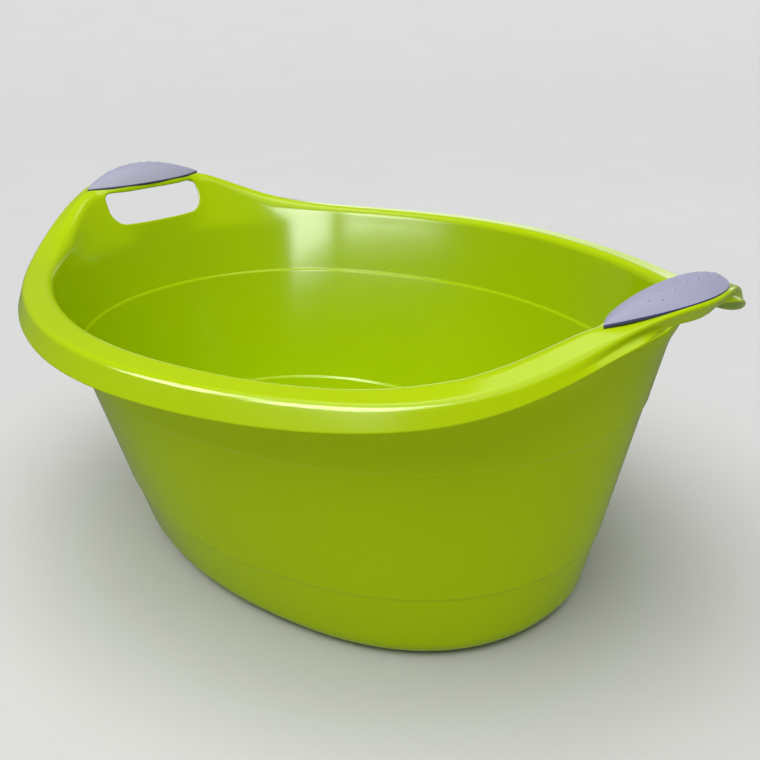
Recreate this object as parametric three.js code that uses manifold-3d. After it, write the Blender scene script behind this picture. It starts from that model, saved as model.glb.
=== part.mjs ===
// Oval bathtub with two raised carrying handles.
// One thin moulded shell (floor, two-stepped wall, rim flange with its skirt, two hand-holds)
// and a soft grip pad on top of each handle.
// Millimetres, +Z up, +X along the long axis. The origin is the centre of the underside.
import * as THREE from "three";
import { mergeVertices } from "three/addons/utils/BufferGeometryUtils.js";
import Module from "manifold-3d";

// ---------------------------------------------------------------- driving dimensions

const SHELL_THICKNESS = 2.6;
const SKIRT_THICKNESS = 2.4;

// The outside of the wall is an oval at each of these heights: half length, half width, and
// the exponent of its superellipse. The wall is straight from one to the next.
const BASE = { z: 0, long: 221.5, short: 147, power: 2.18 };
const LOWER_STEP = { z: 60, long: 237.3, short: 166.2, power: 2.09 };
const UPPER_STEP = { z: 172, long: 265.6, short: 198.8, power: 2.03 };
const TOP_LEVEL = { z: 280, long: 292, short: 225, power: 2.03 };
// Fills the oval out towards its ends and flattens it along its sides.
const OVAL_SKEW = 0.019;
// Above each step the wall stands this much further out.
const STEP_OUT = 1.6;
const STEP_RISE = 2;
const BASE_RADIUS = 22;

// The rim flange: how far its outer corner stands out of the wall, and at what height.
const RIM_HEIGHT = 233.2;
const RIM_OVERHANG = 20.8;
const RIM_CORNER_RADIUS = 3;
const RIM_INNER_RADIUS = 6;
// The rim's upper face falls outwards by this slope.
const RIM_FALL = 0.08;
const LEAST_RADIUS = 0.6;
const SKIRT_DROP = 20;
const SKIRT_FLARE = 7;
// The skirt has a waist this far down, where it pinches in beside each bar.
const WAIST_SHARE = 0.6;

// What each handle does to the rim. Every effect has its full amount at the middle of the
// handle and fades out about reach away from there along Y; a higher power fades more abruptly.
const HANDLE = {
  rise: { amount: 50.3, reach: 98, power: 2.4 },
  widening: { amount: 21.5, reach: 131, power: 4 },
  bulge: { amount: 13, reach: 44, power: 2 },
  skirtArch: { amount: 11.5, reach: 155, power: 2.5 },
  skirtBelly: { amount: 5.5, reach: 32, power: 2 },
  skirtSteep: { amount: 3, reach: 150, power: 4 },
  skirtTuck: { amount: 15, reach: 38, power: 5 },
  waistTuck: { amount: 9.5, reach: 58, power: 4 },
  softInnerEdge: { amount: 16, reach: 110, power: 4 },
  crispBarEdge: { amount: 19.5, reach: 52, power: 6 },
  outwardFall: { amount: 0.26, reach: 110, power: 4 },
  barTilt: { amount: 0.5, reach: 55, power: 6 },
  broadCorner: { amount: 6, reach: 105, power: 4 },
  narrowBarCorner: { amount: 5, reach: 48, power: 4 },
  wallFlare: { amount: 16, reach: 117, power: 8 },
  barWall: { amount: 1, reach: 42, power: 4 },
};
// The wall flare starts at this height and grows up to the top level.
const FLARE_LEVEL = 222;

// The hand-hold under each bar. Its lower edge sags towards its middle.
const HOLD = {
  width: 103,
  low: 241.5,
  sag: 3,
  high: 269.8,
  lowRadius: 14,
  highRadius: 6,
  from: 255,
  to: 314,
};

// The grip pad is a lens in plan. Its two edges rise from its tips to the middle of the bar.
const GRIP = {
  tipX: 303,
  tipZ: 276.2,
  halfWidth: 63,
  inner: { bulge: -15.5, rise: -0.3, power: 2.8 },
  outer: { bulge: 29, rise: 7.5, power: 2 },
  edgeDepth: 2.2,
  dome: 11.5,
};
const GRIP_GAP = 0.35;

// Sections round the rim, drawn closer together towards the handles, and points per arc.
const RIM_SAMPLES = 104;
const HANDLE_CROWDING = 0.3;
const ARC_STEPS = 4;
// Most of its shorter leg that a corner's rounding takes.
const MOST_ROOM = 0.48;

// ---------------------------------------------------------------- plan and rim curves

// How much of a handle's effect is left at a distance y from its middle.
function near(effect, y) {
  return effect.amount * Math.exp(-Math.pow(Math.abs(y) / effect.reach, effect.power));
}

// The wall's oval at height z, between the upper step and the top level.
function upperOval(z) {
  const t = (z - UPPER_STEP.z) / (TOP_LEVEL.z - UPPER_STEP.z);
  const blend = (from, to) => from + t * (to - from);
  return {
    z,
    long: blend(UPPER_STEP.long + STEP_OUT, TOP_LEVEL.long),
    short: blend(UPPER_STEP.short + STEP_OUT, TOP_LEVEL.short),
    power: TOP_LEVEL.power,
  };
}

// Radius, seen from above, of an oval at polar angle phi.
function planRadius(oval, phi) {
  const alongX = Math.pow(Math.abs(Math.cos(phi)) / oval.long, oval.power);
  const alongY = Math.pow(Math.abs(Math.sin(phi)) / oval.short, oval.power);
  const skew = 1 + OVAL_SKEW * Math.sin(2 * phi) ** 2 * Math.cos(2 * phi);
  return Math.pow(alongX + alongY, -1 / oval.power) * skew;
}

// The rim's measures at polar angle phi, all in the upright plane through the Z axis.
function rimAt(phi) {
  const wall = planRadius(upperOval(RIM_HEIGHT), phi);
  const y = wall * Math.sin(phi);
  const overhang = RIM_OVERHANG + near(HANDLE.widening, y) + near(HANDLE.bulge, y);
  const drop = SKIRT_DROP - near(HANDLE.skirtArch, y) + near(HANDLE.skirtBelly, y);
  const flare = SKIRT_FLARE - near(HANDLE.skirtSteep, y);
  const corner = { r: wall + overhang, z: RIM_HEIGHT + near(HANDLE.rise, y) };
  return {
    corner,
    cornerRadius: RIM_CORNER_RADIUS + near(HANDLE.broadCorner, y) - near(HANDLE.narrowBarCorner, y),
    waist: {
      r: corner.r + flare * WAIST_SHARE - near(HANDLE.waistTuck, y),
      z: corner.z - drop * WAIST_SHARE,
    },
    skirt: {
      r: corner.r + flare - near(HANDLE.skirtTuck, y),
      z: corner.z - drop,
    },
    bandSlope: near(HANDLE.barTilt, y) - near(HANDLE.outwardFall, y) - RIM_FALL,
    flare: near(HANDLE.wallFlare, y) * (1 - near(HANDLE.barWall, y)),
    innerRadius: RIM_INNER_RADIUS + near(HANDLE.softInnerEdge, y) - near(HANDLE.crispBarEdge, y),
  };
}

// ---------------------------------------------------------------- section of the shell

// The point where the line through p and q meets the line through s with slope dz/dr.
function meet(p, q, s, slope) {
  const run = q.r - p.r;
  const rise = q.z - p.z;
  const t = (s.z - p.z + slope * (p.r - s.r)) / (rise - slope * run);
  return { r: p.r + t * run, z: p.z + t * rise };
}

// A polyline with its corners rounded. A corner with no radius stays sharp, and a rounded
// corner becomes steps + 1 points of a smooth arc, which is circular where there is room.
function rounded(corners, steps) {
  const points = [];
  corners.forEach((corner, i) => {
    if (!corner.radius) {
      points.push([corner.r, corner.z]);
      return;
    }
    const here = new THREE.Vector2(corner.r, corner.z);
    const back = new THREE.Vector2(corners[i - 1].r, corners[i - 1].z).sub(here);
    const ahead = new THREE.Vector2(corners[i + 1].r, corners[i + 1].z).sub(here);
    const room = MOST_ROOM * Math.min(back.length(), ahead.length());
    back.normalize();
    ahead.normalize();
    const halfTurn = (Math.PI - Math.acos(back.dot(ahead))) / 2;
    const tangent = Math.min(corner.radius * Math.tan(halfTurn), room);
    const weight = Math.cos(halfTurn);
    const start = here.clone().addScaledVector(back, tangent);
    const end = here.clone().addScaledVector(ahead, tangent);
    for (let k = 0; k <= steps; k++) {
      const t = k / steps;
      const a = (1 - t) ** 2;
      const b = 2 * t * (1 - t) * weight;
      const c = t ** 2;
      points.push([
        (a * start.x + b * here.x + c * end.x) / (a + b + c),
        (a * start.y + b * here.y + c * end.y) / (a + b + c),
      ]);
    }
  });
  return points;
}

// The closed section from the middle of the underside, up the outside, round the rim, and down
// the inside to the middle of the floor. Every angle gives the same number of points.
function sectionAt(phi) {
  const level = (oval, out) => ({ r: planRadius(oval, phi) + out, z: oval.z });
  const rim = rimAt(phi);
  const inner = -SHELL_THICKNESS;
  const aboveStep = (oval, out) => ({
    r: planRadius(oval, phi) + STEP_OUT + out,
    z: oval.z + STEP_RISE,
  });
  const flareStart = (out) => level(upperOval(FLARE_LEVEL), out);
  const topWall = (out) => [flareStart(out), level(TOP_LEVEL, out + rim.flare)];
  const bandUnder = {
    r: rim.corner.r,
    z: rim.corner.z - SHELL_THICKNESS * Math.hypot(1, rim.bandSlope),
  };
  const inset = (from, to) =>
    SKIRT_THICKNESS * Math.hypot(1, (to.r - from.r) / (to.z - from.z));
  const upperInset = inset(rim.corner, rim.waist);
  const lowerInset = inset(rim.waist, rim.skirt);
  const insideWaist = { r: rim.waist.r - (upperInset + lowerInset) / 2, z: rim.waist.z };
  const underCorner = meet(
    { r: rim.corner.r - upperInset, z: rim.corner.z },
    insideWaist,
    bandUnder,
    rim.bandSlope,
  );
  const outside = [
    { ...level(BASE, 0), radius: BASE_RADIUS },
    level(LOWER_STEP, 0),
    aboveStep(LOWER_STEP, 0),
    level(UPPER_STEP, 0),
    aboveStep(UPPER_STEP, 0),
    flareStart(0),
    {
      ...meet(...topWall(0), bandUnder, rim.bandSlope),
      radius: Math.max(rim.innerRadius - SHELL_THICKNESS, LEAST_RADIUS),
    },
    { ...underCorner, radius: LEAST_RADIUS },
    insideWaist,
    { r: rim.skirt.r - lowerInset, z: rim.skirt.z },
    rim.skirt,
    rim.waist,
    { ...rim.corner, radius: rim.cornerRadius },
  ];
  const inside = [
    { ...meet(...topWall(inner), rim.corner, rim.bandSlope), radius: rim.innerRadius },
    flareStart(inner),
    aboveStep(UPPER_STEP, inner),
    level(UPPER_STEP, inner),
    aboveStep(LOWER_STEP, inner),
    level(LOWER_STEP, inner),
    { r: planRadius(BASE, phi) + inner, z: SHELL_THICKNESS, radius: BASE_RADIUS - SHELL_THICKNESS },
  ];
  const middle = [
    { r: 0, z: 0 },
    { r: 0, z: SHELL_THICKNESS },
  ];
  return rounded([middle[0], ...outside, ...inside, middle[1]], ARC_STEPS);
}

// ---------------------------------------------------------------- meshes

// A closed surface from rings of points. The first and last ring are single points, repeated.
function surfaceFromRings(rings) {
  const count = rings[0].length;
  const positions = rings.flat(2);
  const index = [];
  for (let i = 0; i + 1 < rings.length; i++) {
    for (let j = 0; j < count; j++) {
      const a = i * count + j;
      const b = i * count + ((j + 1) % count);
      const c = a + count;
      const d = b + count;
      if (i > 0) index.push(a, b, c);
      if (i + 2 < rings.length) index.push(b, d, c);
    }
  }
  const geometry = new THREE.BufferGeometry();
  geometry.setAttribute("position", new THREE.Float32BufferAttribute(positions, 3));
  geometry.setIndex(index);
  return geometry;
}

function shellGeometry() {
  const sections = [];
  for (let j = 0; j < RIM_SAMPLES; j++) {
    const even = (2 * Math.PI * j) / RIM_SAMPLES;
    const phi = even - HANDLE_CROWDING * Math.sin(2 * even);
    sections.push(
      sectionAt(phi).map(([r, z]) => [r * Math.cos(phi), r * Math.sin(phi), z]),
    );
  }
  const rings = sections[0].map((_, i) => sections.map((section) => section[i]));
  return surfaceFromRings(rings);
}

// A rounded block that cuts one hand-hold, along +X.
function holdCutterGeometry() {
  const half = HOLD.width / 2;
  const low = HOLD.lowRadius;
  const high = HOLD.highRadius;
  const outline = new THREE.Shape();
  outline.moveTo(-half + low, HOLD.low);
  outline.quadraticCurveTo(0, HOLD.low - 2 * HOLD.sag, half - low, HOLD.low);
  outline.absarc(half - low, HOLD.low + low, low, -Math.PI / 2, 0, false);
  outline.lineTo(half, HOLD.high - high);
  outline.absarc(half - high, HOLD.high - high, high, 0, Math.PI / 2, false);
  outline.lineTo(-half + high, HOLD.high);
  outline.absarc(-half + high, HOLD.high - high, high, Math.PI / 2, Math.PI, false);
  outline.lineTo(-half, HOLD.low + low);
  outline.absarc(-half + low, HOLD.low + low, low, Math.PI, 1.5 * Math.PI, false);
  const block = new THREE.ExtrudeGeometry(outline, {
    depth: HOLD.to - HOLD.from,
    bevelEnabled: false,
    curveSegments: 6,
  });
  const axes = new THREE.Matrix4().makeBasis(
    new THREE.Vector3(0, 1, 0),
    new THREE.Vector3(0, 0, 1),
    new THREE.Vector3(1, 0, 0),
  );
  return block.applyMatrix4(axes).translate(HOLD.from, 0, 0);
}

const wasm = await Module();
wasm.setup();

function toSolid(geometry) {
  const bare = geometry.clone();
  bare.deleteAttribute("normal");
  bare.deleteAttribute("uv");
  const merged = mergeVertices(bare, 1e-3);
  return new wasm.Manifold(
    new wasm.Mesh({
      numProp: 3,
      vertProperties: merged.attributes.position.array,
      triVerts: new Uint32Array(merged.index.array),
    }),
  );
}

function toGeometry(solid) {
  const mesh = solid.getMesh();
  const geometry = new THREE.BufferGeometry();
  geometry.setAttribute("position", new THREE.BufferAttribute(mesh.vertProperties, 3));
  geometry.setIndex(new THREE.BufferAttribute(mesh.triVerts, 1));
  geometry.computeVertexNormals();
  return geometry;
}

function tubShell() {
  const cutter = holdCutterGeometry();
  const mirrored = cutter.clone().rotateZ(Math.PI);
  const solid = toSolid(shellGeometry()).subtract(toSolid(cutter)).subtract(toSolid(mirrored));
  return toGeometry(solid);
}

// ---------------------------------------------------------------- grip pads

// A pad's edge at s, which runs from 1 at one tip to -1 at the other: its X and its Z.
function gripEdge(edge, s) {
  return {
    x: GRIP.tipX + edge.bulge * (1 - Math.pow(Math.abs(s), edge.power)),
    z: GRIP.tipZ + edge.rise * (1 - s * s),
  };
}

// The lens of one pad on the +X handle: domed on top, flat across underneath.
function gripLens() {
  const across = 10;
  const along = 24;
  const rings = [];
  for (let i = 0; i <= along; i++) {
    const s = Math.cos((Math.PI * i) / along);
    const inner = gripEdge(GRIP.inner, s);
    const outer = gripEdge(GRIP.outer, s);
    const top = [];
    const bottom = [];
    for (let k = 0; k <= across; k++) {
      const u = k / across;
      const x = inner.x + (outer.x - inner.x) * u;
      const z = inner.z + (outer.z - inner.z) * u;
      const dome = GRIP.dome * (1 - s * s) * 4 * u * (1 - u);
      top.unshift([x, GRIP.halfWidth * s, z + dome]);
      bottom.push([x, GRIP.halfWidth * s, z - GRIP.edgeDepth]);
    }
    const isTip = i === 0 || i === along;
    const tip = [GRIP.tipX, GRIP.halfWidth * s, GRIP.tipZ - GRIP.edgeDepth / 2];
    rings.push([...bottom, ...top].map((point) => (isTip ? tip : point)));
  }
  return surfaceFromRings(rings);
}

// The pad itself: the lens without what lies in the rim, below it, or closer to it than the gap.
function gripPad() {
  const lens = toSolid(gripLens());
  const shifts = [GRIP_GAP, GRIP_GAP - SHELL_THICKNESS / 2, -SHELL_THICKNESS];
  const pad = shifts.reduce(
    (rest, shift) => rest.subtract(toSolid(shellGeometry().translate(0, 0, shift))),
    lens,
  );
  return toGeometry(pad);
}

// ---------------------------------------------------------------- assembly

const limePlastic = new THREE.MeshStandardMaterial({ color: 0x9bc00a, roughness: 0.25, metalness: 0 });
const softGrey = new THREE.MeshStandardMaterial({ color: 0x8f90a8, roughness: 0.6, metalness: 0 });

function part(name, geometry, material) {
  const mesh = new THREE.Mesh(geometry, material);
  mesh.name = name;
  return mesh;
}

const bathtub = new THREE.Group();
bathtub.add(part("tub_shell", tubShell(), limePlastic));
bathtub.add(part("grip_right", gripPad(), softGrey));
bathtub.add(part("grip_left", gripPad().rotateZ(Math.PI), softGrey));

export default bathtub;
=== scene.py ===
"""Oval bathtub with two raised handles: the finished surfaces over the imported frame.

Shapes are worked out in millimetres and made in metres. +Z is up, +X runs along the tub.
"""
import math

import bmesh
import bpy
import numpy as np
from mathutils import Matrix, Vector


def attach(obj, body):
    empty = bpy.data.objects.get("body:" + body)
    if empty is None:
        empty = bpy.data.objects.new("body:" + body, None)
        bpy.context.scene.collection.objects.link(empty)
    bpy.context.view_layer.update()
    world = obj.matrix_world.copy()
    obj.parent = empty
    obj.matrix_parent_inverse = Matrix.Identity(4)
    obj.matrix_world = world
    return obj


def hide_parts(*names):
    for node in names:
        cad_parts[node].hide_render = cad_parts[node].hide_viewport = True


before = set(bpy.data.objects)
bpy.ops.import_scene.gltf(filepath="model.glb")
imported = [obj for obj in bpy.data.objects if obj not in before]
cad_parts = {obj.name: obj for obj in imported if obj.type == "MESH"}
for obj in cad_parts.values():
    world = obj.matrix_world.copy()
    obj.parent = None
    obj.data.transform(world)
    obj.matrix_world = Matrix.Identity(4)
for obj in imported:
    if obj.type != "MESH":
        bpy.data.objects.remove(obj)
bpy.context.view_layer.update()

MM = 0.001

# ------------------------------------------------------------------ camera

VIEW_AZIMUTH = math.radians(48.072)
VIEW_ELEVATION = math.radians(22.108)
VIEW_ROLL = math.radians(-1.83)
VIEW_TARGET = (31.006, 139.083)
VIEW_DISTANCE = 841.92
LENS_MM = 46.488
SENSOR_MM = 36


def place_camera():
    """The target lies in the upright plane through the Z axis that faces the camera."""
    sa, ca = math.sin(VIEW_AZIMUTH), math.cos(VIEW_AZIMUTH)
    se, ce = math.sin(VIEW_ELEVATION), math.cos(VIEW_ELEVATION)
    right = Vector((ca, sa, 0))
    back = Vector((sa * ce, -ca * ce, se))
    up = back.cross(right)
    cr, sr = math.cos(VIEW_ROLL), math.sin(VIEW_ROLL)
    right, up = right * cr + up * sr, up * cr - right * sr
    across, height = VIEW_TARGET
    target = Vector((ca * across, sa * across, height))
    spot = (target + back * VIEW_DISTANCE) * MM
    data = bpy.data.cameras.new("camera")
    data.lens = LENS_MM
    data.sensor_width = SENSOR_MM
    camera = bpy.data.objects.new("camera", data)
    turn = Matrix((right, up, back)).transposed().to_4x4()
    camera.matrix_world = Matrix.Translation(spot) @ turn
    bpy.context.scene.collection.objects.link(camera)
    bpy.context.scene.camera = camera


place_camera()

# ------------------------------------------------------------------ the tub's measures

SHELL = 2.6
SKIRT_WALL = 2.4
OVAL_SKEW = 0.019
STEP_OUT = 1.6
STEP_RISE = 2
STEP_RADIUS = 0.9
BASE_RADIUS = 22

# The wall's outside is an oval at each of these levels.
# Height, half length, half width and superellipse exponent of the wall's outside.
BASE = (0, 221.5, 147, 2.18)
LOWER_STEP = (60, 237.3, 166.2, 2.09)
UPPER_STEP = (172, 265.6, 198.8, 2.03)
TOP_LEVEL = (280, 292, 225, 2.03)

RIM_HEIGHT = 233.2
RIM_OVERHANG = 20.8
RIM_CORNER_RADIUS = 5.5
RIM_INNER_RADIUS = 7.5
RIM_FALL = 0.08
SKIRT_DROP = 20
SKIRT_FLARE = 7
SKIRT_EDGE_RADIUS = 1.15
WAIST_RADIUS = 1.5
WAIST_SHARE = 0.6
LEAST_RADIUS = 0.6
FLARE_LEVEL = 222
FLARE_RADIUS = 60

# Each handle's effects on the rim: amount at its middle, reach along Y, and power of the fade.
RISE = (50.3, 98, 2.4)
WIDENING = (21.5, 131, 4)
BULGE = (13, 44, 2)
SKIRT_ARCH = (11.5, 155, 2.5)
SKIRT_BELLY = (5.5, 32, 2)
SKIRT_STEEP = (3, 150, 4)
SKIRT_TUCK = (15, 38, 5)
WAIST_TUCK = (9.5, 58, 4)
SOFT_INNER_EDGE = (16, 138, 5)
CRISP_BAR_EDGE = (21, 52, 6)
OUTWARD_FALL = (0.26, 110, 4)
BAR_TILT = (0.5, 55, 6)
BROAD_CORNER = (3.5, 105, 4)
NARROW_BAR_CORNER = (5, 48, 4)
WALL_FLARE = (16, 117, 8)
BAR_WALL = (1, 42, 4)

HOLD_HALF_WIDTH = 51.5
HOLD_LOW = 241.5
HOLD_SAG = 3
HOLD_HIGH = 269.8
HOLD_LOW_RADIUS = 14
HOLD_HIGH_RADIUS = 6
# How far the skins' edges stay back from a hand-hold's outline, to leave room for its lip.
HOLD_LIP = 1.3
LIP_STEPS = 6

GRIP_TIP_X = 303
GRIP_TIP_Z = 276.2
GRIP_HALF_WIDTH = 63
# Each edge of a pad: its bulge and its rise from tip to middle, and the power of its curve.
GRIP_INNER = (-15.5, -0.3, 2.8)
GRIP_OUTER = (29, 7.5, 2)
GRIP_DOME = 11.5
GRIP_EDGE = 2.2
GRIP_LEAST_EDGE = 0.6
GRIP_SUNK = 0.2

NUB_PITCH = 12
NUB_INNER_X = 312.5
NUB_OUTER_X = 317.5
NUB_RADIUS = 1.5
NUB_HEIGHT = 0.75
NUB_SUNK = 0.1

COLUMNS = 392
HANDLE_CROWDING = 0.3


def near(effect, y):
    """How much of a handle's effect is left at a distance y from its middle."""
    amount, reach, power = effect
    return amount * np.exp(-((np.abs(y) / reach) ** power))


def plan_radius(level, phi):
    """Radius, seen from above, of the wall's outside at a level."""
    _, long, short, power = level
    along_x = (np.abs(np.cos(phi)) / long) ** power
    along_y = (np.abs(np.sin(phi)) / short) ** power
    skew = 1 + OVAL_SKEW * np.sin(2 * phi) ** 2 * np.cos(2 * phi)
    return (along_x + along_y) ** (-1 / power) * skew


def upper_level(z):
    """The wall's level at a height between the upper step and the top."""
    t = (z - UPPER_STEP[0]) / (TOP_LEVEL[0] - UPPER_STEP[0])
    long = UPPER_STEP[1] + STEP_OUT + t * (TOP_LEVEL[1] - UPPER_STEP[1] - STEP_OUT)
    short = UPPER_STEP[2] + STEP_OUT + t * (TOP_LEVEL[2] - UPPER_STEP[2] - STEP_OUT)
    return (z, long, short, TOP_LEVEL[3])


# ------------------------------------------------------------------ sections of the shell


def corner(r, z, radius=0.0, steps=0, cuts=0, even=False):
    """A corner of the section, rounded in that many steps. The run up to it has that many cuts,
    evenly spaced or closer together towards its ends."""
    return {"r": r, "z": z, "radius": radius, "steps": steps, "cuts": cuts, "even": even}


def unit(v):
    return v / np.linalg.norm(v, axis=-1, keepdims=True)


def trace(corners, phi):
    """Rows of points (r, z), one per column, along a path with rounded corners, and the row
    where each corner starts."""
    size = len(phi)
    spots = [
        np.stack([np.broadcast_to(c["r"], size), np.broadcast_to(c["z"], size)], -1)
        for c in corners
    ]
    rows = []
    starts = []
    for i, c in enumerate(corners):
        here = spots[i]
        if not c["steps"]:
            points = [here]
        else:
            back, ahead = spots[i - 1] - here, spots[i + 1] - here
            room = np.minimum(np.linalg.norm(back, axis=-1), np.linalg.norm(ahead, axis=-1))
            back, ahead = unit(back), unit(ahead)
            cosine = np.clip((back * ahead).sum(-1), -1, 1)
            half = (math.pi - np.arccos(cosine)) / 2
            reach = c["radius"] * np.tan(half)
            reach = np.clip(reach, room * LEAST_ROOM, room * MOST_ROOM)[:, None]
            half = half[:, None]
            start = here + back * reach
            end = here + ahead * reach
            points = []
            for k in range(c["steps"] + 1):
                t = k / c["steps"]
                w0, w1, w2 = (1 - t) ** 2, 2 * t * (1 - t) * np.cos(half), t * t
                points.append((start * w0 + here * w1 + end * w2) / (w0 + w1 + w2))
        for k in range(1, c["cuts"] + 1):
            t = k / (c["cuts"] + 1)
            if not c["even"]:
                t = 0.5 - 0.5 * math.cos(math.pi * t)
            rows.append(last * (1 - t) + points[0] * t)
        starts.append(len(rows))
        rows.extend(points)
        last = points[-1]
    return np.array(rows), starts


def meet(p, q, s, slope):
    """Where the line through p and q meets the line through s with slope dz/dr."""
    run, rise = q[0] - p[0], q[1] - p[1]
    t = (s[1] - p[1] + slope * (p[0] - s[0])) / (rise - slope * run)
    return p[0] + t * run, p[1] + t * rise


def rim_at(phi):
    """The rim's measures at each angle."""
    wall = plan_radius(upper_level(RIM_HEIGHT), phi)
    y = wall * np.sin(phi)
    r = wall + RIM_OVERHANG + near(WIDENING, y) + near(BULGE, y)
    z = RIM_HEIGHT + near(RISE, y)
    flare = SKIRT_FLARE - near(SKIRT_STEEP, y)
    drop = SKIRT_DROP - near(SKIRT_ARCH, y) + near(SKIRT_BELLY, y)
    return {
        "r": r,
        "z": z,
        "waist_r": r + flare * WAIST_SHARE - near(WAIST_TUCK, y),
        "skirt_r": r + flare - near(SKIRT_TUCK, y),
        "skirt_z": z - drop,
        "slope": near(BAR_TILT, y) - near(OUTWARD_FALL, y) - RIM_FALL,
        "corner": RIM_CORNER_RADIUS + near(BROAD_CORNER, y) - near(NARROW_BAR_CORNER, y),
        "flare": near(WALL_FLARE, y) * (1 - near(BAR_WALL, y)),
        "radius": RIM_INNER_RADIUS + near(SOFT_INNER_EDGE, y) - near(CRISP_BAR_EDGE, y),
    }


# Least and most of its shorter leg that a corner's rounding takes.
LEAST_ROOM = 0.06
MOST_ROOM = 0.48
FLARE_STEPS = 4
WALL_CUTS = 22
FILLET_STEPS = 10
BAND_CUTS = 8
CREASE_STEPS = 10
# Places of four corners in the section's list.
FOOT_OUTSIDE = 6
UNDER_CREASE = 8
CREASE = 13
FOOT_INSIDE = 15


def shell_rows(phi):
    """The section's rows (r, z) from the middle of the underside, round the rim, to the middle
    of the floor, and the first row of each corner."""
    rim = rim_at(phi)
    slope = rim["slope"]
    crease = (rim["r"], rim["z"])
    skirt = (rim["skirt_r"], rim["skirt_z"])

    def level(at, out, up=0.0):
        return plan_radius(at, phi) + out, at[0] + up

    def foot_of_wall(out):
        return level(upper_level(FLARE_LEVEL), out)

    def wall_line(out):
        r, z = level(TOP_LEVEL, out)
        return foot_of_wall(out), (r + rim["flare"], z)

    under_band = (rim["r"], rim["z"] - SHELL * np.hypot(1, slope))
    waist = (rim["waist_r"], crease[1] + (skirt[1] - crease[1]) * WAIST_SHARE)
    upper_lean = (waist[0] - crease[0]) / (waist[1] - crease[1])
    lower_lean = (skirt[0] - waist[0]) / (skirt[1] - waist[1])
    upper_in = -SKIRT_WALL * np.hypot(1, upper_lean)
    lower_in = -SKIRT_WALL * np.hypot(1, lower_lean)
    inside_top = (crease[0] + upper_in, crease[1])
    inside_waist = (waist[0] + (upper_in + lower_in) / 2, waist[1])
    inside_foot = (skirt[0] + lower_in, skirt[1])
    under_radius = np.maximum(rim["radius"] - SHELL, LEAST_RADIUS)

    return trace(
        [
            corner(0.0, 0.0),
            corner(*level(BASE, 0), BASE_RADIUS, 8, 6),
            corner(*level(LOWER_STEP, 0), STEP_RADIUS, 3, 7),
            corner(*level(LOWER_STEP, STEP_OUT, STEP_RISE), STEP_RADIUS, 3),
            corner(*level(UPPER_STEP, 0), STEP_RADIUS, 3, 14),
            corner(*level(UPPER_STEP, STEP_OUT, STEP_RISE), STEP_RADIUS, 3),
            corner(*foot_of_wall(0), FLARE_RADIUS, FLARE_STEPS, 8),
            corner(*meet(*wall_line(0), under_band, slope), under_radius, FILLET_STEPS,
                   WALL_CUTS, True),
            corner(*meet(inside_top, inside_waist, under_band, slope), LEAST_RADIUS, 3,
                   BAND_CUTS),
            corner(*inside_waist, WAIST_RADIUS, 4, 2),
            corner(*inside_foot, SKIRT_EDGE_RADIUS, 4, 2),
            corner(*skirt, SKIRT_EDGE_RADIUS, 4),
            corner(*waist, WAIST_RADIUS, 4, 3),
            corner(*crease, rim["corner"], CREASE_STEPS, 3),
            corner(*meet(*wall_line(-SHELL), crease, slope), rim["radius"], FILLET_STEPS,
                   BAND_CUTS),
            corner(*foot_of_wall(-SHELL), FLARE_RADIUS, FLARE_STEPS, WALL_CUTS, True),
            corner(*level(UPPER_STEP, STEP_OUT - SHELL, STEP_RISE), STEP_RADIUS, 3, 8),
            corner(*level(UPPER_STEP, -SHELL), STEP_RADIUS, 3),
            corner(*level(LOWER_STEP, STEP_OUT - SHELL, STEP_RISE), STEP_RADIUS, 3, 14),
            corner(*level(LOWER_STEP, -SHELL), STEP_RADIUS, 3),
            corner(plan_radius(BASE, phi) - SHELL, SHELL, BASE_RADIUS - SHELL, 8, 7),
            corner(0.0, SHELL, cuts=6),
        ],
        phi,
    )


def hold_distance(y, z):
    """Signed distance from a hand-hold's outline, seen along X, and the direction away from it."""
    middle = (HOLD_LOW + HOLD_HIGH) / 2
    low_share = np.clip((HOLD_HIGH - z) / (HOLD_HIGH - HOLD_LOW), 0, 1)
    z = z + HOLD_SAG * low_share * (1 - np.minimum((y / HOLD_HALF_WIDTH) ** 2, 1))
    radius = np.where(z > middle, HOLD_HIGH_RADIUS, HOLD_LOW_RADIUS)
    half_y = HOLD_HALF_WIDTH - radius
    half_z = (HOLD_HIGH - HOLD_LOW) / 2 - radius
    qy, qz = np.abs(y) - half_y, np.abs(z - middle) - half_z
    out_y, out_z = np.maximum(qy, 0), np.maximum(qz, 0)
    outside = np.hypot(out_y, out_z)
    distance = outside + np.minimum(np.maximum(qy, qz), 0) - radius
    size = np.maximum(outside, 1e-9)
    way_y = np.where(outside > 0, out_y / size, qy > qz) * np.sign(y)
    way_z = np.where(outside > 0, out_z / size, qy <= qz) * np.sign(z - middle)
    return distance, way_y, way_z


def slopes(grid):
    """Change of a grid of points per row and per column. The columns close on themselves."""
    by_row = np.gradient(grid, axis=0)
    by_column = (np.roll(grid, -1, 1) - np.roll(grid, 1, 1)) / 2
    return by_row, by_column


# Most of the way to its neighbour that a point moves in each round of fitting.
MOST_SHIFT = 0.8
FIT_ROUNDS = 3
TINY = 1e-6


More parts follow.
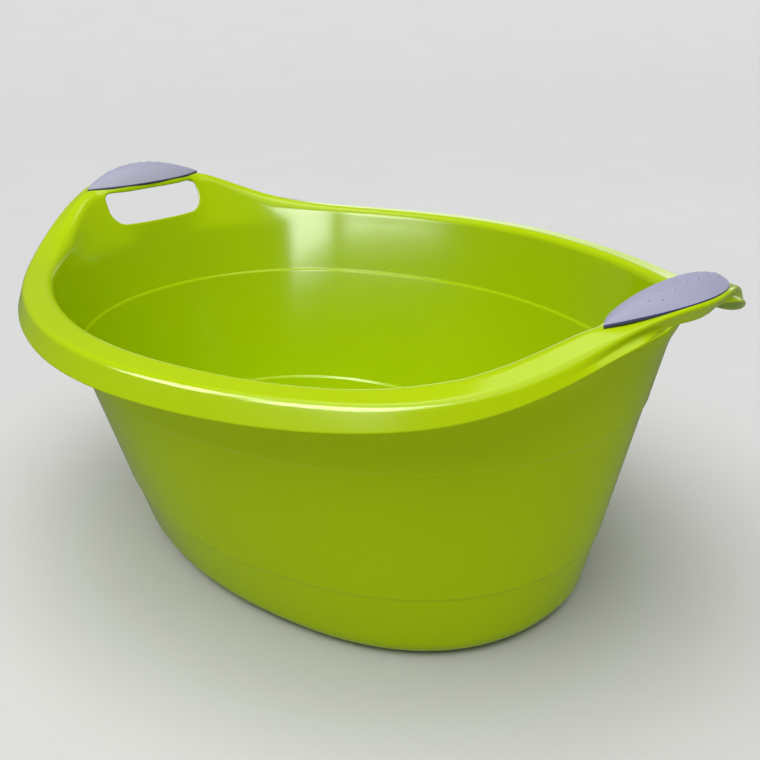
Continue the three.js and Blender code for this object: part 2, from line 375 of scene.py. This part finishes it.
def fit_to_hold(outer, inner):
    """Moves the points of the two skins that lie next to a hand-hold's outline onto it.
    Returns the skins, which of their points lie inside the hole, and which were moved."""
    distance = hold_distance((outer + inner)[..., 1] / 2, (outer + inner)[..., 2] / 2)[0] - HOLD_LIP
    snap = np.zeros(distance.shape, bool)
    for axis in (0, 1):
        other = np.roll(distance, -1, axis)
        crossing = distance * other < 0
        if axis == 0:
            crossing[-1] = False
        mine = np.abs(distance) <= np.abs(other)
        snap |= crossing & mine
        snap |= np.roll(crossing & ~mine, 1, axis)
    inside = (distance < 0) & ~snap
    outer_row, outer_column = slopes(outer)
    inner_row, inner_column = slopes(inner)
    for _ in range(FIT_ROUNDS):
        middle = (outer + inner) / 2
        distance, way_y, way_z = hold_distance(middle[..., 1], middle[..., 2])
        need_y = -(distance - HOLD_LIP) * way_y
        need_z = -(distance - HOLD_LIP) * way_z
        row, column = (outer_row + inner_row) / 2, (outer_column + inner_column) / 2
        det = row[..., 1] * column[..., 2] - row[..., 2] * column[..., 1]
        det = np.where(np.abs(det) < TINY, TINY, det)
        rows = (need_y * column[..., 2] - need_z * column[..., 1]) / det
        columns = (row[..., 1] * need_z - row[..., 2] * need_y) / det
        rows = np.where(snap, np.clip(rows, -MOST_SHIFT, MOST_SHIFT), 0)[..., None]
        columns = np.where(snap, np.clip(columns, -MOST_SHIFT, MOST_SHIFT), 0)[..., None]
        outer = outer + outer_row * rows + outer_column * columns
        inner = inner + inner_row * rows + inner_column * columns
    return outer, inner, inside, snap


def shell_mesh():
    even = np.arange(COLUMNS) * 2 * math.pi / COLUMNS
    phi = even - HANDLE_CROWDING * np.sin(2 * even)
    rows, starts = shell_rows(phi)
    grid = np.stack([rows[..., 0] * np.cos(phi), rows[..., 0] * np.sin(phi), rows[..., 1]], -1)
    count = len(grid)
    # The stretches of the outer and the inner skin that face each other, row by row.
    outer_at = np.arange(starts[FOOT_OUTSIDE], starts[UNDER_CREASE] - BAND_CUTS // 2)
    inner_at = starts[FOOT_INSIDE] + FLARE_STEPS - np.arange(len(outer_at))
    outer, inner, hole, snap = fit_to_hold(grid[outer_at], grid[inner_at])
    grid[outer_at], grid[inner_at] = outer, inner
    gone = np.zeros(grid.shape[:2], bool)
    gone[outer_at] = hole
    gone[inner_at] = hole

    number = np.arange(count * COLUMNS).reshape(count, COLUMNS)
    # The first and the last row are each a single point.
    number[0] = number[0, 0]
    number[-1] = number[-1, 0]
    faces = []
    edges = {}
    for i in range(count - 1):
        for j in range(COLUMNS):
            k = (j + 1) % COLUMNS
            around = [(i, j), (i, k), (i + 1, k), (i + 1, j)]
            kept = [at for at in around if not gone[at]]
            if len(kept) < 3:
                continue
            face = list(dict.fromkeys(int(number[at]) for at in kept))
            faces.append(face)
            # Only an edge with a single face keeps its pair: those go round the holes.
            for a, b in zip(face, face[1:] + face[:1]):
                key = (min(a, b), max(a, b))
                edges[key] = None if key in edges else (a, b)

    points = list(map(tuple, grid.reshape(-1, 3)))
    partner = {
        int(number[a, j]): (int(number[b, j]), r, j)
        for r, (a, b) in enumerate(zip(outer_at, inner_at))
        for j in range(COLUMNS)
        if snap[r, j]
    }
    # A rounded lip joins the two skins round each hole.
    middle = (outer + inner) / 2
    lips = {}
    for a, (b, r, j) in partner.items():
        _, way_y, way_z = hold_distance(middle[r, j, 1], middle[r, j, 2])
        half = (outer[r, j] - inner[r, j]) / 2
        size = np.linalg.norm(half)
        normal = half / size
        way = np.array([0.0, -float(way_y), -float(way_z)])
        way -= normal * way.dot(normal)
        way /= np.linalg.norm(way)
        ring = [a]
        for k in range(1, LIP_STEPS):
            turn = math.pi * k / LIP_STEPS
            ring.append(len(points))
            points.append(tuple(middle[r, j] + half * math.cos(turn) + way * size * math.sin(turn)))
        ring.append(b)
        lips[a] = ring
    for pair in edges.values():
        if pair and pair[0] in lips and pair[1] in lips:
            one, two = lips[pair[0]], lips[pair[1]]
            for k in range(LIP_STEPS):
                faces.append([one[k], two[k], two[k + 1], one[k + 1]])
    return points, faces


def make_object(name, points, faces, finish=None):
    """finish gives each face's material slot, where there is more than one."""
    mesh = bpy.data.meshes.new(name)
    work = bmesh.new()
    verts = [work.verts.new([c * MM for c in p]) for p in points]
    for i, face in enumerate(faces):
        made = work.faces.new([verts[k] for k in face])
        made.material_index = finish[i] if finish else 0
    loose = [v for v in work.verts if not v.link_faces]
    bmesh.ops.delete(work, geom=loose, context="VERTS")
    bmesh.ops.recalc_face_normals(work, faces=work.faces)
    for face in work.faces:
        face.smooth = True
    work.to_mesh(mesh)
    work.free()
    thing = bpy.data.objects.new(name, mesh)
    bpy.context.scene.collection.objects.link(thing)
    return thing


# ------------------------------------------------------------------ grip pads


def grip_edge(edge, s):
    """X and Z of a pad's edge at s, which runs from 1 at one tip to -1 at the other."""
    bulge, rise, power = edge
    return GRIP_TIP_X + bulge * (1 - abs(s) ** power), GRIP_TIP_Z + rise * (1 - s * s)


def band_height(x, y):
    """Height of the rim's upper face at points of the handle."""
    phi = np.arctan2(y, x)
    rows, starts = shell_rows(phi)
    r = np.hypot(x, y)
    band = rows[starts[CREASE] + CREASE_STEPS // 2 : starts[FOOT_INSIDE]]
    return np.array([np.interp(r[i], band[::-1, i, 0], band[::-1, i, 1]) for i in range(len(r))])


def grip_surface(x, y):
    """Height of a pad's upper face."""
    s = y / GRIP_HALF_WIDTH
    inner_x, inner_z = grip_edge(GRIP_INNER, s)
    outer_x, outer_z = grip_edge(GRIP_OUTER, s)
    u = (x - inner_x) / (outer_x - inner_x)
    return inner_z + (outer_z - inner_z) * u + GRIP_DOME * (1 - s * s) * 4 * u * (1 - u)


def grip_mesh():
    """Points, faces and each face's material: 0 for the soft face, 1 for the pad's side wall and
    ends, which carry a painted shade standing in for the shadow under the pad's edge.
    """
    along, across = 160, 40
    points, faces, finish = [], [], []
    rings = []
    for s in np.cos(np.pi * (np.arange(along) + 0.5) / along):
        inner_x, inner_z = grip_edge(GRIP_INNER, s)
        outer_x, outer_z = grip_edge(GRIP_OUTER, s)
        u = 0.5 - 0.5 * np.cos(np.pi * np.arange(across + 1) / across)
        x = inner_x + (outer_x - inner_x) * u
        y = np.full_like(x, GRIP_HALF_WIDTH * s)
        flat = inner_z + (outer_z - inner_z) * u
        top = np.stack([x, y, grip_surface(x, y)], -1)
        seat = np.clip(band_height(x, y) - GRIP_SUNK, flat - GRIP_EDGE, flat - GRIP_LEAST_EDGE)
        bottom = np.stack([x, y, seat], -1)
        ring = []
        for p in [*top, *bottom[::-1]]:
            ring.append(len(points))
            points.append(tuple(p))
        rings.append(ring)
    for one, two in zip(rings, rings[1:]):
        for k in range(len(one)):
            m = (k + 1) % len(one)
            faces.append([one[k], one[m], two[m], two[k]])
            # The side wall's faces, and below the two ends, get the painted edge shade.
            finish.append(0 if k < across else 1)
    faces += [rings[0], rings[-1]]
    finish += [1, 1]
    for x, y in nub_places():
        first = len(points)
        points_of_nub, faces_of_nub = nub(x, y)
        points += points_of_nub
        faces += [[first + i for i in face] for face in faces_of_nub]
        finish += [0] * len(faces_of_nub)
    return points, faces, finish


def nub_places():
    """Two staggered rows of nubs along the crest of a pad."""
    inner_row = [(NUB_INNER_X, NUB_PITCH * k) for k in range(-3, 4)]
    outer_row = [(NUB_OUTER_X, NUB_PITCH * (k + 0.5)) for k in range(-3, 3)]
    return inner_row + outer_row


def nub(x, y):
    """A low round nub on a pad's upper face."""
    rings, around = 5, 14
    step = 0.1
    height = grip_surface(x, y)
    across = np.array([step, 0, grip_surface(x + step, y) - height]) / step
    along = np.array([0, step, grip_surface(x, y + step) - height]) / step
    normal = unit(np.cross(across, along))
    centre = np.array([x, y, height])
    points = [tuple(centre + normal * NUB_HEIGHT)]
    for i in range(1, rings + 1):
        turn = math.pi / 2 * i / rings
        for k in range(around):
            way = 2 * math.pi * k / around
            out = across * math.cos(way) + along * math.sin(way)
            rise = NUB_HEIGHT * math.cos(turn) - NUB_SUNK
            points.append(tuple(centre + out * NUB_RADIUS * math.sin(turn) + normal * rise))
    faces = [[0, 1 + k, 1 + (k + 1) % around] for k in range(around)]
    for i in range(rings - 1):
        for k in range(around):
            here, after = 1 + i * around, 1 + (i + 1) * around
            m = (k + 1) % around
            faces.append([here + k, after + k, after + m, here + m])
    return points, faces


# ------------------------------------------------------------------ materials


def link(material, source, output, target, socket):
    material.node_tree.links.new(source.outputs[output], target.inputs[socket])


def noise(material, coordinates, scale, detail):
    node = material.node_tree.nodes.new("ShaderNodeTexNoise")
    node.inputs["Scale"].default_value = scale
    node.inputs["Detail"].default_value = detail
    link(material, coordinates, "Object", node, "Vector")
    return node


CLOUD_SCALE = 5
GLOSS_SCALE = 22
GRAIN_STRENGTH = 0.35


def moulded(name, colours, roughness, grain_scale, grain_depth):
    """A moulded material: two close shades in broad clouds, uneven gloss and a fine grain."""
    material = bpy.data.materials.new(name)
    material.use_nodes = True
    nodes = material.node_tree.nodes
    shader = nodes["Principled BSDF"]
    coordinates = nodes.new("ShaderNodeTexCoord")

    shades = nodes.new("ShaderNodeValToRGB")
    shades.color_ramp.elements[0].position = 0.35
    shades.color_ramp.elements[0].color = (*colours[0], 1)
    shades.color_ramp.elements[1].position = 0.65
    shades.color_ramp.elements[1].color = (*colours[1], 1)
    link(material, noise(material, coordinates, CLOUD_SCALE, 2), "Fac", shades, "Fac")
    link(material, shades, "Color", shader, "Base Color")

    gloss = nodes.new("ShaderNodeMapRange")
    gloss.inputs["To Min"].default_value = roughness[0]
    gloss.inputs["To Max"].default_value = roughness[1]
    link(material, noise(material, coordinates, GLOSS_SCALE, 4), "Fac", gloss, "Value")
    link(material, gloss, "Result", shader, "Roughness")

    bump = nodes.new("ShaderNodeBump")
    bump.inputs["Strength"].default_value = GRAIN_STRENGTH
    bump.inputs["Distance"].default_value = grain_depth
    link(material, noise(material, coordinates, grain_scale, 3), "Fac", bump, "Height")
    link(material, bump, "Normal", shader, "Normal")
    return material, shader


LIME = ((0.395, 0.550, 0.0012), (0.410, 0.572, 0.0014))
GREY = ((0.31, 0.31, 0.43), (0.33, 0.33, 0.41))
# Painted shade: a dark navy colour for the pads' side walls and ends, standing in for the shadow
# under each pad's edge.
NAVY_PAINTED_EDGE_SHADE = ((0.035, 0.04, 0.17), (0.045, 0.05, 0.21))

lime, lime_shader = moulded("lime_plastic", LIME, (0.13, 0.2), 420, 0.00004)
lime_shader.inputs["IOR"].default_value = 1.45
lime_shader.inputs["Specular IOR Level"].default_value = 0.14
grey, grey_shader = moulded("grey_soft", GREY, (0.46, 0.6), 900, 0.00008)
grey_shader.inputs["Specular IOR Level"].default_value = 0.16
painted_edge_shade, _ = moulded("grey_soft_painted_edge_shade", NAVY_PAINTED_EDGE_SHADE, (0.4, 0.55), 900, 0.00008)

# ------------------------------------------------------------------ pieces

tub = make_object("tub", *shell_mesh())
tub.data.materials.append(lime)
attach(tub, "root")
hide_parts("tub_shell")

grip_points, grip_faces, grip_finish = grip_mesh()
for side, sign in (("right", 1), ("left", -1)):
    pad = make_object(
        "soft_grip_" + side,
        [(sign * x, sign * y, z) for x, y, z in grip_points],
        grip_faces,
        grip_finish,
    )
    pad.data.materials.append(grey)
    # The second slot holds the painted shade for the pad's side wall and ends.
    pad.data.materials.append(painted_edge_shade)
    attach(pad, "root")
    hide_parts("grip_" + side)

# ------------------------------------------------------------------ stage and light

# The stage and the lights are placed in metres.
FLAT_REACH = 4
FLOOR_REACH = 10
BACKDROP_REACH = 20
STAGE_CURVE = 0.04


def stage_ring(name, start, reach, material):
    """The stretch, from one radius to another, of a pale stage that is flat up to FLAT_REACH
    and curves up beyond it. Glossy surfaces don't mirror it."""
    rings, around = 12, 64
    points, faces = [], []
    for i in range(rings):
        r = start + (reach - start) * i / (rings - 1)
        rise = STAGE_CURVE * max(r - FLAT_REACH, 0) ** 2
        turns = [2 * math.pi * k / around for k in range(around)]
        points += [(r * math.cos(turn), r * math.sin(turn), rise) for turn in turns]
    for k in range(around):
        m = (k + 1) % around
        for i in range(rings - 1):
            here, after = i * around, (i + 1) * around
            faces.append((here + k, after + k, after + m, here + m))
    if start == 0:
        # The innermost ring is a single point.
        faces = [tuple(dict.fromkeys(0 if v < around else v for v in face)) for face in faces]
    mesh = bpy.data.meshes.new(name)
    mesh.from_pydata(points, [], faces)
    mesh.shade_smooth()
    ring = bpy.data.objects.new(name, mesh)
    bpy.context.scene.collection.objects.link(ring)
    mesh.materials.append(material)
    ring.visible_glossy = False
    return ring


def make_stage():
    """A floor, and a backdrop round it that hides the horizon and sheds no light on the tub."""
    material, shader = moulded(
        "floor", ((0.55, 0.55, 0.55), (0.56, 0.56, 0.56)), (0.85, 0.9), 300, 0.00002
    )
    shader.inputs["Specular IOR Level"].default_value = 0.1
    stage_ring("floor", 0, FLOOR_REACH, material)
    backdrop = stage_ring("backdrop", FLOOR_REACH, BACKDROP_REACH, material)
    backdrop.visible_diffuse = False


def aim(light, spot, target):
    """Puts a light at a spot, shining at a target."""
    light.location = spot
    light.rotation_euler = (Vector(target) - Vector(spot)).to_track_quat("-Z", "Y").to_euler()
    bpy.context.scene.collection.objects.link(light)


def sun_light(name, direction, strength, softness):
    data = bpy.data.lights.new(name, "SUN")
    data.energy = strength
    data.angle = math.radians(softness)
    aim(bpy.data.objects.new(name, data), direction, (0, 0, 0))


def soft_box(name, spot, target, size, radiance):
    """A glowing panel that only shows as a reflection in glossy surfaces."""
    data = bpy.data.lights.new(name, "AREA")
    data.shape = "RECTANGLE"
    data.size, data.size_y = size
    data.energy = radiance * math.pi * size[0] * size[1]
    light = bpy.data.objects.new(name, data)
    light.visible_diffuse = False
    light.visible_camera = False
    aim(light, spot, target)


make_stage()
sun_light("key", (0.12, -0.22, 0.97), 3.6, 70)
soft_box("near_window", (0.225, -0.62, 0.6), (0.225, 0, 0.6), (0.33, 0.46), 52)
soft_box("near_window_left", (-0.175, -0.62, 0.6), (-0.175, 0, 0.6), (0.31, 0.46), 42)
soft_box("ceiling", (-0.35, 0.1, 1.5), (0, 0, 0.2), (0.9, 0.7), 5)
soft_box("far_strip", (-1.0, 1.5, 0.36), (0, -0.15, 0.24), (2.6, 0.3), 1.4)

world = bpy.data.worlds.new("studio")
world.use_nodes = True
world.node_tree.nodes["Background"].inputs["Color"].default_value = (1, 1, 1, 1)
world.node_tree.nodes["Background"].inputs["Strength"].default_value = 0.16
bpy.context.scene.world = world
bpy.context.scene.view_settings.view_transform = "Standard"
